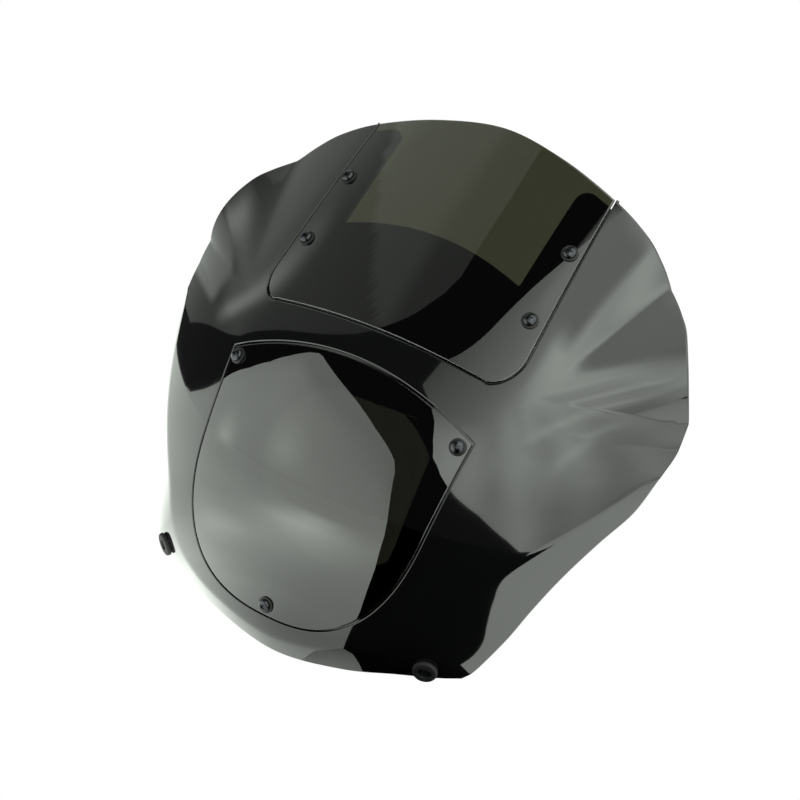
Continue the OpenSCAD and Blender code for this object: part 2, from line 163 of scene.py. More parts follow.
def front(x, z):
    """Depth of the whole outer face at (x, z), with the flanks turned back past their crease."""
    x, z = np.asarray(x, float), np.asarray(z, float)
    angle = np.arctan2(np.abs(x), z - HUB[1])
    reach = np.interp(angle, EDGE_ANGLE, EDGE_REACH)
    crease = np.interp(angle, EDGE_ANGLE, EDGE[:, 2])
    turn = np.interp(angle, EDGE_ANGLE, EDGE[:, 3])
    t = (np.hypot(x, z - HUB[1]) / reach - crease) / (1 - crease)
    return depth(x, z) + turn * 0.5 * (t + np.sqrt(t**2 + CREASE_ROLL**2))


def normals(x, z, e=0.4):
    """Outward unit normals of the outer face."""
    x, z = np.asarray(x, float), np.asarray(z, float)
    n = np.stack([(front(x + e, z) - front(x - e, z)) / (2 * e), -np.ones(x.shape),
                  (front(x, z + e) - front(x, z - e)) / (2 * e)], -1)
    return n / np.linalg.norm(n, axis=-1, keepdims=True)


def sunk(x, z, d):
    """Points of the outer face at (x, z), moved inwards by d."""
    x, z = np.asarray(x, float), np.asarray(z, float)
    return np.stack([x, front(x, z), z], -1) - np.asarray(d, float)[..., None] * normals(x, z)


def sunk_row(outline, d):
    """Points of an outline of (x, z) on the outer face, moved inwards by d."""
    return sunk(*outline.T, np.full(len(outline), d))


def lean_back(v):
    """Directions of the front's own view turned into the frame."""
    v = np.asarray(v, float)
    x, y, z = v[..., 0], v[..., 1], v[..., 2]
    return np.stack([x, y * LEAN_COS - z * LEAN_SIN, y * LEAN_SIN + z * LEAN_COS], -1)


def fitted(p):
    """Points in millimetres of the front's own view, placed in the frame in metres."""
    return lean_back(np.asarray(p, float) - LAMP_AT) * MM


# Outlines in the front view, each a closed list of (x, z), grown by g
def both_halves(half):
    """A closed outline from its right half, which starts and ends on the centreline."""
    half = np.asarray(half, float)
    return np.vstack([half, (half[-2:0:-1]) * [-1, 1]])


def spread(a, b, n):
    """Even steps from a to b, with n gaps."""
    return np.linspace(a, b, n + 1)


def blunt(q):
    """Half width of a blunt oval, from 1 at its middle to 0 at its end, where q is 1."""
    return np.maximum(0, 1 - q**2.5)**0.4


def screen_side(g, above):
    """Right half of the windscreen's outline as three rows: its top edge, its side with the
    round corner, and its lower edge. The top stands above the shell's by the second value."""
    side, top_side, r = 112.9 + g, 105.7 + g, 17.0 + g
    sill, drop = 118.0, 9.0
    top = EDGE[:2 * EDGE_STEPS + 1, :2]
    a = np.stack([top[:, 0] * top_side / top[-1, 0], top[:, 1] + above], -1)
    corner = np.array([side - r, sill - drop - g + r - 0.5])
    start, s = a[-1], spread(0, 1, 40)[1:-1, None]
    if above > 0:
        start, s = np.array([top_side, 230]), spread(0, 1, 38)[:, None]
    b = start + s * (np.array([side, corner[1]]) - start)
    t = np.radians(spread(0, -90, 16))[:, None]
    c = corner + r * np.hstack([np.cos(t), np.sin(t)])
    x = spread(corner[0] - 3, 0, 34)
    d = np.stack([x, sill - g - drop * (x / corner[0])**2], -1)
    return a, np.vstack([b[1:], c]), d


def screen_outline(g, above=0.0):
    """The windscreen's outline."""
    return both_halves(np.vstack(screen_side(g, above)))


def cover_half_width(z, g):
    """How far out the lamp cover's side stands at height z."""
    q = np.maximum(0, (COVER_TURN - z) / (COVER_DROP + g))
    return (COVER_HALF + g + 0.1 * (z - COVER_TURN)) * blunt(q)


def cover_outline(g):
    """The lamp cover's outline: an arched top, straight sides and a blunt round end."""
    high, r = 97, 229
    corner = np.array([107.5 + 1.06 * g, 70.2 + 0.57 * g])
    low = COVER_TURN - COVER_DROP - g
    x = spread(0, corner[0], 48)
    top = np.stack([x, high - r + np.sqrt((r + g) * (r + g) - x * x)], -1)
    z = spread(corner[1], COVER_TURN, 30)[1:]
    side = np.stack([cover_half_width(z, g), z], -1)
    z = COVER_TURN + (low - COVER_TURN) * np.sin(np.radians(spread(2.5, 90, 70)))
    bottom = np.stack([cover_half_width(z, g), z], -1)
    return both_halves(np.vstack([top, side, bottom]))


def mouth_outline(g):
    """Opening in the cover's flange: a low arch on round shoulders over a blunt oval."""
    w, top, r, low, turn = MOUTH_HALF[0] + g, MOUTH_HALF[1] + g, 24 + g, -70.5 - g, 5.0
    a = np.stack([spread(0, w - r, 16), np.full(17, top)], -1)
    t = np.radians(spread(90, 0, 20))[1:]
    b = np.stack([w - r + r * np.cos(t), top - r + r * np.sin(t)], -1)
    z = spread(top - r, turn, 14)[1:]
    c = np.stack([np.full(14, w), z], -1)
    q = np.sin(np.radians(spread(0, 90, 60)))[1:]**0.9
    d = np.stack([w * blunt(q), turn + (low - turn) * q], -1)
    return both_halves(np.vstack([a, b, c, d]))


def window_outline():
    """Opening behind the windscreen: straight sides and an arched sill, open at the top
    between the rounded ends of the flange."""
    w, r, end, tip, open_top = 80.0, 1.5, 6.0, 231.0, 290.0
    sill_high, sag = 181, 14
    sill = sill_high - sag * ((w - r) / w)**2
    a = np.vstack([np.stack([spread(0, w + 24, 8), np.full(9, open_top)], -1),
                   [[w + 24, tip - 1], [w + 16, tip + 0.5]]])
    t = np.radians(spread(90, 180, 10))
    b = np.stack([w + end + end * np.cos(t), tip - end + end * np.sin(t)], -1)
    z = spread(tip - end, sill + r, 30)[1:]
    b = np.vstack([b, np.stack([np.full(30, w), z], -1)])
    t = np.radians(spread(0, -90, 8))[1:]
    c = np.stack([w - r + r * np.cos(t), sill + r + r * np.sin(t)], -1)
    x = spread(w - r - 2, 0, 34)
    d = np.stack([x, sill_high - sag * (x / w)**2], -1)
    return both_halves(np.vstack([a, b, c, d]))


# Meshes
def new_mesh(name, points, faces):
    """Mesh from points in metres and faces given as arrays of equal-sided rows."""
    me = bpy.data.meshes.new(name)
    me.from_pydata([tuple(p) for p in points], [], [tuple(int(i) for i in f) for f in faces])
    me.validate()
    me.update()
    return me


def ring_faces(rings, n, start=0, closed=False):
    """Quads between neighbouring rings of n points."""
    i = np.arange(n)
    out = []
    for k in range(rings if closed else rings - 1):
        a, b = start + k * n, start + (k + 1) % rings * n
        out.append(np.stack([a + i, b + i, b + (i + 1) % n, a + (i + 1) % n], -1))
    return np.vstack(out)


def stack_mesh(name, rings, top, bottom):
    """Closed solid from a stack of rings that starts and ends in a single point."""
    n, m = len(rings[0]), len(rings)
    last = 1 + (m - 1) * n
    fan_a = [(0, 1 + k, 1 + (k + 1) % n) for k in range(n)]
    fan_b = [(1 + m * n, last + (k + 1) % n, last + k) for k in range(n)]
    return new_mesh(name, np.vstack([[top], *rings, [bottom]]),
                    [*fan_a, *ring_faces(m, n, 1), *fan_b])


def loop_mesh(name, rings):
    """Closed solid of ring shape, from rings that lead back to the first one."""
    return new_mesh(name, np.vstack(rings), ring_faces(len(rings), len(rings[0]), 0, True))


def roll(r, steps=4):
    """Rounded edge of radius r: rows of how far it stays short and how far it has sunk."""
    a = np.radians(spread(0, 90, steps))
    return np.stack([r * (1 - np.sin(a)), r * (1 - np.cos(a))], -1)


def sheet(name, rows, outline, middle):
    """Closed solid from rows of (part of the way out from the middle, growth, depth), each a
    ring of the outline on the outer face."""
    rings = [fitted(sunk_row(middle + k * (outline(g) - middle), d)) for k, g, d in rows]
    ends = [fitted(sunk(*middle, d)) for d in (rows[0][2], rows[-1][2])]
    return temp(name, stack_mesh(name, rings, *ends))


def cutter(name, outline, middle, d0, d1, count=24):
    """Solid between two depths within an outline."""
    steps = [k / count for k in range(1, count + 1)]
    rows = [(k, 0, d0) for k in steps] + [(k, 0, d1) for k in steps[::-1]]
    return sheet(name, rows, lambda g: outline, middle)


def temp(name, mesh):
    """New object in the scene from a mesh."""
    ob = bpy.data.objects.new(name, mesh)
    bpy.context.scene.collection.objects.link(ob)
    return ob


def only_mesh(ob):
    """An object's mesh, kept while the object is deleted."""
    mesh = ob.data
    bpy.data.objects.remove(ob)
    return mesh


def outward(mesh):
    """The mesh with its doubles merged and its faces turned outwards."""
    bm = bmesh.new()
    bm.from_mesh(mesh)
    bmesh.ops.remove_doubles(bm, verts=bm.verts, dist=2e-6)
    bmesh.ops.recalc_face_normals(bm, faces=bm.faces)
    bm.to_mesh(mesh)
    bm.free()
    return mesh


def carve(ob, tools, operation="DIFFERENCE"):
    """Cuts the tools from ob, or joins them to it, and deletes them."""
    outward(ob.data)
    for tool in tools:
        outward(tool.data)
        mod = ob.modifiers.new(tool.name, "BOOLEAN")
        mod.operation = operation
        mod.solver = "MANIFOLD"
        mod.object = tool
    dg = bpy.context.evaluated_depsgraph_get()
    mesh = bpy.data.meshes.new_from_object(ob.evaluated_get(dg))
    if not mesh.polygons:
        raise RuntimeError(f"{ob.name} came out empty")
    ob.modifiers.clear()
    ob.data = mesh
    for tool in tools:
        bpy.data.objects.remove(tool)
    return ob


def cylinder(name, at, axis, radius, low, high, sides=48, flat=0.0):
    """Closed cylinder along an axis, stretched sideways by flat, all in metres."""
    turn = axis_turn(axis)
    a = np.linspace(0, 2 * math.pi, sides, endpoint=False)
    ring = np.stack([radius * np.cos(a) + flat * np.sign(np.cos(a)), radius * np.sin(a)], -1)
    rows = [np.hstack([ring, np.full((sides, 1), h)]) @ turn.T + at for h in (low, high)]
    return temp(name, stack_mesh(name, rows, at + low * turn[:, 2], at + high * turn[:, 2]))


def bores(name, seats, **sizes):
    """A cylinder at every seat, along its axis."""
    return [cylinder(name, at, turn[:, 2], **sizes) for at, turn in seats]


def axis_turn(axis):
    """Rotation that takes +Z to an axis, the way the CAD source turns its fasteners."""
    n = np.asarray(axis, float)
    tilt, spin = math.acos(max(-1, min(1, n[2]))), math.atan2(n[1], n[0])
    ry = np.array([[math.cos(tilt), 0, math.sin(tilt)], [0, 1, 0],
                   [-math.sin(tilt), 0, math.cos(tilt)]])
    rz = np.array([[math.cos(spin), -math.sin(spin), 0], [math.sin(spin), math.cos(spin), 0],
                   [0, 0, 1]])
    return rz @ ry


def screw_seats(places):
    """Where screws stand on the outer face: (point in metres, rotation) for each."""
    return [(fitted(sunk(x, z, 0)), LEAN_TURN @ axis_turn(normals(x, z))) for x, z in places]


def grommet_seats():
    """Where the two grommets sit in the flanks beside the lower corners."""
    row = np.array(RUNS[3], float)

    def on_flank(r, t):
        c = HUB + r[2] * (r[:2] - HUB)
        p = c + t * (r[:2] - c)
        return np.array([p[0], depth(p[0], p[1]) + t * r[3], p[1]])

    at = on_flank(row[1], GROMMET_OUT)
    n = np.cross(on_flank(row[2], GROMMET_OUT) - on_flank(row[0], GROMMET_OUT),
                 on_flank(row[1], 1) - on_flank(row[1], 0))
    n /= np.linalg.norm(n)
    sides = [np.array([s, 1, 1]) for s in (-1, 1)]
    return [(fitted(at * side), LEAN_TURN @ axis_turn(n * side)) for side in sides]


def shade(mesh, angle):
    """Smooth shading with sharp edges past an angle in degrees."""
    mesh.shade_smooth()
    mesh.set_sharp_from_angle(angle=math.radians(angle))


def read_all(items, key, width, kind=float):
    """One property of all items of a mesh, as rows."""
    out = np.zeros(len(items) * width, kind)
    items.foreach_get(key, out)
    return out.reshape(-1, width)


def smooth_face(mesh, angle=32):
    """Smooth shading, with the outer face's own true normals where a corner lies on it."""
    on_face, same_way = 0.02, 0.85
    shade(mesh, angle)
    x, y, z = (read_all(mesh.vertices, "co", 3) / MM).T
    p = np.stack([x, y * LEAN_COS + z * LEAN_SIN, -y * LEAN_SIN + z * LEAN_COS], -1) + LAMP_AT
    true = normals(p[:, 0], p[:, 2])
    off = (p[:, 1] - front(p[:, 0], p[:, 2])) * -true[:, 1]
    near = np.abs(off) < on_face
    true = lean_back(true)
    vert = read_all(mesh.loops, "vertex_index", 1, int)[:, 0]
    total = read_all(mesh.polygons, "loop_total", 1, int)[:, 0]
    face_n = np.repeat(read_all(mesh.polygons, "normal", 3), total, axis=0)
    use = near[vert] & ((face_n * true[vert]).sum(-1) > same_way)
    custom = np.where(use[:, None], true[vert], 0.0)
    mesh.normals_split_custom_set([tuple(v) for v in custom])


def finish_piece(name, mesh, material, nodes):
    """A finished piece: at the origin, in its material, riding on the only body."""
    ob = temp(name, mesh)
    mesh.name = name
    mesh.materials.clear()
    mesh.materials.append(material)
    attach(ob, "root")
    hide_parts(*nodes)


def joined(name, objects):
    """One mesh of several objects' meshes, which are deleted."""
    points, faces = [], []
    for ob in objects:
        base = len(points)
        points += [tuple(v.co) for v in ob.data.vertices]
        faces += [tuple(base + i for i in p.vertices) for p in ob.data.polygons]
        bpy.data.objects.remove(ob)
    return new_mesh(name, points, faces)


# Colours and materials
def linear(code):
    """Scene colour from an sRGB hex value."""
    out = []
    for i in (0, 2, 4):
        v = int(code.lstrip("#")[i:i + 2], 16) / 255
        out.append(v / 12.92 if v <= 0.04045 else ((v + 0.055) / 1.055)**2.4)
    return (*out, 1.0)


def add_node(tree, kind, links=None, **settings):
    """Adds a node, sets its properties and sockets, and links its inputs."""
    node = tree.nodes.new(kind)
    for key, value in settings.items():
        if key == "inputs":
            for k, v in value.items():
                node.inputs[k].default_value = v
        else:
            setattr(node, key, value)
    for key, source in (links or {}).items():
        tree.links.new(source, node.inputs[key])
    return node


def blank_material(name):
    """A material with an empty node tree, and that tree."""
    mat = bpy.data.materials.new(name)
    mat.use_nodes = True
    mat.node_tree.nodes.clear()
    return mat, mat.node_tree


def close_material(tree, shader):
    """Leads a shader to the material's surface."""
    add_node(tree, "ShaderNodeOutputMaterial", {"Surface": shader})


def noise(tree, scale, detail, rough):
    """Even noise through the piece."""
    at = add_node(tree, "ShaderNodeTexCoord").outputs["Object"]
    return add_node(tree, "ShaderNodeTexNoise", {"Vector": at}, inputs={
        "Scale": scale, "Detail": detail, "Roughness": rough}).outputs["Fac"]


def relief(tree, height, strength, distance):
    """Shallow bumps from a noise."""
    return add_node(tree, "ShaderNodeBump", {"Height": height}, inputs={
        "Strength": strength, "Distance": distance}).outputs["Normal"]


def sheen(tree, value, low, high):
    """Roughness that runs between two values with a noise."""
    return add_node(tree, "ShaderNodeMapRange", {"Value": value}, inputs={
        "To Min": low, "To Max": high}).outputs["Result"]


def principled(mat, tree, links, inputs):
    """The material, finished with a principled surface."""
    shader = add_node(tree, "ShaderNodeBsdfPrincipled", links, inputs=inputs)
    close_material(tree, shader.outputs["BSDF"])
    return mat


def lacquered_abs(color):
    """Gloss black ABS, injection moulded and lacquered: deep black with a sharp mirror-like skin
    and the long faint waves of a thin moulded wall."""
    mat, t = blank_material("Lacquered black ABS")
    # waves about 70 mm long from the mould, and fine dust-sized mottling of the lacquer
    wave, peel = noise(t, 14.0, 1.0, 0.4), noise(t, 420.0, 2.0, 0.5)
    return principled(mat, t, {"Normal": relief(t, wave, 0.15, 0.0004),
                               "Roughness": sheen(t, peel, 0.035, 0.075)},
                      {"Base Color": color, "IOR": 1.5, "Coat Weight": 1.0,
                       "Coat Roughness": 0.02, "Coat IOR": 1.5})


def smoked_polycarbonate(name, color):
    """Hard-coated polycarbonate sheet, press formed: clear smoke tint and a bright gloss face."""
    mat, t = blank_material(name)
    # forming waves about 50 mm long, so faint that only reflections show them
    wave = noise(t, 20.0, 1.5, 0.5)
    return principled(mat, t, {"Normal": relief(t, wave, 0.1, 0.0002)},
                      {"Base Color": color, "Roughness": 0.0, "IOR": 1.58,
                       "Transmission Weight": 1.0, "Coat Weight": 1.0,
                       "Coat Roughness": 0.015, "Coat IOR": 1.6})


def metal_finish(name, color, rough, grain):
    """Metal with a plated or blackened skin: even colour and a fine mottled sheen."""
    mat, t = blank_material(name)
    mottle = noise(t, grain, 3.0, 0.6)
    return principled(mat, t, {"Roughness": sheen(t, mottle, rough * 0.8, rough * 1.25),
                               "Normal": relief(t, mottle, 0.15, 0.00005)},
                      {"Base Color": color, "Metallic": 1.0})


def matte_polymer(name, color, rough, grain, height):
    """Moulded nylon or rubber: dull, with a fine grain from the mould."""
    mat, t = blank_material(name)
    skin = noise(t, grain, 4.0, 0.6)
    return principled(mat, t, {"Roughness": sheen(t, skin, rough - 0.08, rough + 0.08),
                               "Normal": relief(t, skin, 0.4, height)},
                      {"Base Color": color, "IOR": 1.52})


def spin_profile(name, rows, sides=48):
    """Solid of revolution about Z from a closed profile of (radius, height) in metres."""
    rows = np.asarray(rows, float)
    a = np.linspace(0, 2 * math.pi, sides, endpoint=False)
    ring = np.stack([np.cos(a), np.sin(a)], -1)
    rings = [np.hstack([ring * r, np.full((sides, 1), h)]) for r, h in rows]
    if rows[0, 0] > 0:
        return loop_mesh(name, rings)
    return stack_mesh(name, rings[1:-1], (0, 0, rows[0, 1]), (0, 0, rows[-1, 1]))


def repeat_tree(name, material):
    """Geometry Nodes that set a template at each point, spun and shifted along its own axis."""
    tree = bpy.data.node_groups.new(name, "GeometryNodeTree")
    face = tree.interface
    face.new_socket("Geometry", in_out="OUTPUT", socket_type="NodeSocketGeometry")
    face.new_socket("Geometry", in_out="INPUT", socket_type="NodeSocketGeometry")
    face.new_socket("Template", in_out="INPUT", socket_type="NodeSocketObject")
    for label, value in (("Shift", 0.0), ("Spin", 0.0), ("Size", 1.0)):
        face.new_socket(label, in_out="INPUT", socket_type="NodeSocketFloat").default_value = value
    into = add_node(tree, "NodeGroupInput").outputs
    source = add_node(tree, "GeometryNodeObjectInfo", {"Object": into["Template"]})
    turn = add_node(tree, "GeometryNodeInputNamedAttribute", data_type="FLOAT_VECTOR",
                    inputs={"Name": "turn"})
    rotation = add_node(tree, "FunctionNodeEulerToRotation", {"Euler": turn.outputs["Attribute"]})
    chance = add_node(tree, "FunctionNodeRandomValue", {"Max": into["Spin"]}, data_type="FLOAT",
                      inputs={"Seed": 7})
    spin = add_node(tree, "ShaderNodeCombineXYZ", {"Z": chance.outputs["Value"]})
    shift = add_node(tree, "ShaderNodeCombineXYZ", {"Z": into["Shift"]})
    copies = add_node(tree, "GeometryNodeInstanceOnPoints",
                      {"Points": into["Geometry"], "Instance": source.outputs["Geometry"],
                       "Rotation": rotation.outputs["Rotation"], "Scale": into["Size"]})
    spun = add_node(tree, "GeometryNodeRotateInstances",
                    {"Instances": copies.outputs["Instances"], "Rotation": spin.outputs["Vector"]})
    moved = add_node(tree, "GeometryNodeTranslateInstances",
                     {"Instances": spun.outputs["Instances"],
                      "Translation": shift.outputs["Vector"]})
    real = add_node(tree, "GeometryNodeRealizeInstances",
                    {"Geometry": moved.outputs["Instances"]})
    dressed = add_node(tree, "GeometryNodeSetMaterial", {"Geometry": real.outputs["Geometry"]},
                       inputs={"Material": material})
    add_node(tree, "NodeGroupOutput", {"Geometry": dressed.outputs["Geometry"]})
    return tree


def repeated(name, template, seats, material, shift=0.0, spin=0.0):
    """Plain mesh of a template set at every seat by the repeat tree."""
    points = bpy.data.meshes.new(name + "_seats")
    points.from_pydata([tuple(p) for p, _ in seats], [], [])
    turns = points.attributes.new("turn", "FLOAT_VECTOR", "POINT")
    for i, (_, m) in enumerate(seats):
        turns.data[i].vector = Matrix([list(r) for r in m]).to_euler()
    holder = temp(name + "_holder", points)
    source = temp(name + "_template", template)
    tree = repeat_tree(name + " set", material)
    mod = holder.modifiers.new("Set", "NODES")
    mod.node_group = tree
    values = {"Template": source, "Shift": shift, "Spin": spin, "Size": 1.0}
    for item in tree.interface.items_tree:
        if item.in_out == "INPUT" and item.name in values:
            mod[item.identifier] = values[item.name]
    dg = bpy.context.evaluated_depsgraph_get()
    mesh = bpy.data.meshes.new_from_object(holder.evaluated_get(dg))
    holder.modifiers.clear()
    for ob in (holder, source):
        bpy.data.objects.remove(ob)
    if len(mesh.vertices) != len(template.vertices) * len(seats):
        raise RuntimeError(f"{name} has {len(mesh.vertices)} points")
    return mesh


def length(name, description, default, low, high):
    """Sidebar value for a length in metres."""
    return bpy.props.FloatProperty(name=name, description=description, default=default,
                                   min=low, max=high, subtype="DISTANCE", unit="LENGTH")


def tint(name, description, code):
    """Sidebar value for a colour."""
    return bpy.props.FloatVectorProperty(name=name, description=description,
                                         default=linear(code), size=4, subtype="COLOR",
                                         min=0, max=1)


class FairingSizes(bpy.types.PropertyGroup):
    """Sizes of the sheets and their fasteners."""
    shell_wall: length("Shell wall", "Thickness of the moulded shell", 0.003, 0.001, 0.006)
    panel_wall: length("Panel thickness", "Thickness of the windscreen and the lamp cover",
                       0.003, 0.001, 0.006)
    gap: length("Gap", "Gap between a panel's edge and the shell", 0.0012, 0.0004, 0.003)
    seat_gap: length("Seat gap", "Clearance between a panel's back and its flange",
                     0.0005, 0.0, 0.001)
    edge_roll: length("Edge radius", "Radius of the rolled edges of panels and rebates",
                      0.0008, 0.0002, 0.0014)
    head: length("Screw head", "Diameter of a screw's pan head", 0.0096, 0.008, 0.011)
    washer: length("Washer", "Diameter of the washer under a screw's head",
                   0.0126, 0.011, 0.015)


class FairingColors(bpy.types.PropertyGroup):
    """Colours of the pieces, as scene colours."""
    shell: tint("Shell", "Colour of the lacquered shell", "#0a0a0b")
    screen: tint("Windscreen", "Tint of the windscreen's sheet", "#393b2c")
    # The lamp cover's tint is the windscreen's smoke made darker, which paints in the shade seen
    # through it behind the cover
    cover: tint("Lamp cover", "Tint of the lamp cover's sheet", "#191a14")
    floor: tint("Floor", "Colour of the studio floor", "#f4f4f2")


def shell_skin(wall):
    """The shell's whole skin with its rolled outer edge, before anything is cut out of it."""
    edge = np.vstack([EDGE, EDGE[-2:0:-1] * [-1, 1, 1, 1]])
    rim, crease = edge[:, :2], edge[:, 2:3]
    reach = np.hypot(rim[:, 0], rim[:, 1] - HUB[1])[:, None]
    unit = (rim - HUB) / reach
    inner = [crease * k for k in np.linspace(0, 1, 45)[1:-1]]
    near = [crease + (1 - crease) * t for t in (0, .03, .07, .12, .2, .3, .4, .5, .6, .7, .8)]
    last = 1 - RIM_ROLL / reach
    face = [np.minimum(k, last - 0.001) for k in inner + near] + [last]
    rows = [(k, 0.0) for k in face]
    rows += [(1 - short / reach, sink) for short, sink in roll(RIM_ROLL)[1:]]
    rows += [(1 - short / reach, wall - sink) for short, sink in roll(RIM_ROLL)[::-1]]
    rows += [(k, wall) for k in face[-2::-1]]
    rings = [fitted(sunk_row(HUB + k * reach * unit, d)) for k, d in rows]
    ends = [fitted(sunk(*HUB, d)) for d in (0.0, wall)]
    return temp("skin", stack_mesh("skin", rings, *ends))


def build_shell(s):
    """The moulded shell: skin, rolled rebates, sunk flanges and the headlamp well."""
    wall, panel, gap, r = (v / MM for v in (s.shell_wall, s.panel_wall, s.gap, s.edge_roll))
    flange = panel + s.seat_gap / MM
    stack = flange + wall
    over = 30           # how far the screen's cuts run out past the shell's top edge
    tray_front = 1.4    # depth at which the flanges' walls start, under the skin
    lap, seat = gap + r - 0.05, gap + 0.3
    cuts = [cutter("cut", outline, middle, -CUT, flange + 1.5) for outline, middle in (
        (screen_outline(lap, over), SCREEN_MIDDLE), (cover_outline(lap), COVER_MIDDLE))]
    cuts += bores("grommet_cut", grommet_seats(), radius=0.00675, low=-0.009, high=0.009)
    parts = [carve(shell_skin(wall), cuts)]
    for tray, inside, window, middle, screws in (
            (screen_outline(gap + WALL_W, -6), screen_outline(seat, over), window_outline(),
             SCREEN_MIDDLE, SCREEN_XZ),
            (cover_outline(gap + WALL_W), cover_outline(seat), mouth_outline(0),
             COVER_MIDDLE, COVER_XZ)):
        cuts = [cutter("seat", inside, middle, -CUT, flange),
                cutter("window", window, middle, -CUT, stack + 4)]
        cuts += bores("slot", screw_seats(screws), radius=0.0028, low=-0.0095, high=0.003,
                      sides=32, flat=0.001)
        parts.append(carve(cutter("tray", tray, middle, tray_front, stack), cuts))
    rows = lip_rows(gap, r, flange)
    lip = [fitted(sunk_row(cover_outline(g), d)) for g, d in rows]
    parts += [temp("cover_lip", outward(loop_mesh("cover_lip", lip))), screen_lip(rows),
              headlamp_well(flange)]
    return joined("fairing_shell", parts)


def lip_rows(gap, r, flange):
    """Rows of a rebate's rolled lip: how far each stands outside the panel's outline, and its
    depth. The lip runs a little way under the skin and into the flange's wall."""
    skin_lap, wall_lap, below = 0.25, 1.2, flange + 0.2
    short, sink = roll(r).T
    grow = [gap + r - x for x in (-skin_lap, *(r - short), r, r, -wall_lap, -wall_lap)]
    return list(zip(grow, (0.3, *sink, 1.6, below, below, 0.9)))


def screen_lip(rows):
    """The rolled lip along the windscreen's sides and lower edge, open at the top."""
    points = []
    for g, d in rows:
        a, b, c = screen_side(g, 0)
        half = np.vstack([a[-1:], b, c])
        points.append(fitted(sunk_row(np.vstack([half, half[-2::-1] * [-1, 1]]), d)))
    n, m = len(points[0]), len(rows)
    faces = []
    for k in range(m):
        a, b = k * n, (k + 1) % m * n
        faces += [(a + i, b + i, b + i + 1, a + i + 1) for i in range(n - 1)]
    faces.append(tuple(k * n for k in range(m)))
    faces.append(tuple(k * n + n - 1 for k in range(m))[::-1])
    return temp("screen_lip", outward(new_mesh("screen_lip", np.vstack(points), faces)))


def headlamp_well(flange):
    """The well from the cover's flange back to the oval headlamp opening."""
    ledge, wall, ring, lip_roll = 1.0, 3.0, 8.0, 1.2
    mouth, outer = mouth_outline(ledge), mouth_outline(ledge + wall)
    up, back = np.array([0, LEAN_SIN, LEAN_COS]), np.array([0, LEAN_COS, -LEAN_SIN])
    angle = np.arctan2(mouth[:, 1] / MOUTH_HALF[1], mouth[:, 0] / MOUTH_HALF[0])[:, None]

    def oval(grow, deep):
        return (LAMP_AT + (OVAL_HALF[0] + grow) * np.cos(angle) * [1, 0, 0]
                + (OVAL_HALF[1] + grow) * np.sin(angle) * up + deep * back)

    a, b = sunk_row(mouth, flange + 1.2), oval(ring, -wall)
    c, d = oval(ring + wall, 0), sunk_row(outer, flange + 1.4)
    rings = [a, *(a + t * (b - a) for t in (0.25, 0.5, 0.75)), b]
    rings += [oval(x, -wall + y) for x, y in roll(lip_roll)]
    rings += [oval(0, 0), c, *(c + t * (d - c) for t in (0.33, 0.66)), d]
    return temp("well", outward(loop_mesh("well", [fitted(x) for x in rings])))


def build_panel(name, outline, middle, thickness, r, screws):
    """A formed sheet with rolled edges and screw holes, flush with the outer face."""
    count = 40
    rows = [(k / count, -r, 0.0) for k in range(1, count)]
    rows += [(1.0, -x, y) for x, y in roll(r)]
    rows += [(1.0, -x, thickness - y) for x, y in roll(r)[::-1]]
    rows += [(k / count, -r, thickness) for k in range(count - 1, 0, -1)]
    holes = bores("hole", screw_seats(screws), radius=0.003, low=-0.006, high=0.003)
    return only_mesh(carve(sheet(name, rows, outline, middle), holes))


class FAIRING_OT_shell(bpy.types.Operator):
    """Build the moulded shell"""
    bl_idname = "fairing.shell"
    bl_label = "Shell"

    def execute(self, context):
        scene = context.scene
        mesh = build_shell(scene.fairing_sizes)
        smooth_face(mesh)
        finish_piece("shell", mesh, lacquered_abs(scene.fairing_colors.shell),
                     ["fairing_shell"])
        return {"FINISHED"}


class FAIRING_OT_panels(bpy.types.Operator):
    """Build the windscreen and the lamp cover"""
    bl_idname = "fairing.panels"
    bl_label = "Windscreen and lamp cover"

    def execute(self, context):
        s, c = context.scene.fairing_sizes, context.scene.fairing_colors
        r, t = s.edge_roll / MM, s.panel_wall / MM
        # The lamp cover gets the same smoke in a darker tint, as painted shade from behind it
        for name, node, outline, middle, screws, tone, color in (
                ("smoked_windscreen", "windscreen", lambda g: screen_outline(g, g),
                 SCREEN_MIDDLE, SCREEN_XZ, "Smoked polycarbonate", c.screen),
                ("smoked_lamp_cover", "headlamp_lens", cover_outline,
                 COVER_MIDDLE, COVER_XZ, "Smoked polycarbonate darkened as painted shade", c.cover)):
            mesh = build_panel(name, outline, middle, t, r, screws)
            smooth_face(mesh, 50)
            finish_piece(name, mesh, smoked_polycarbonate(tone, color), [node])
        return {"FINISHED"}


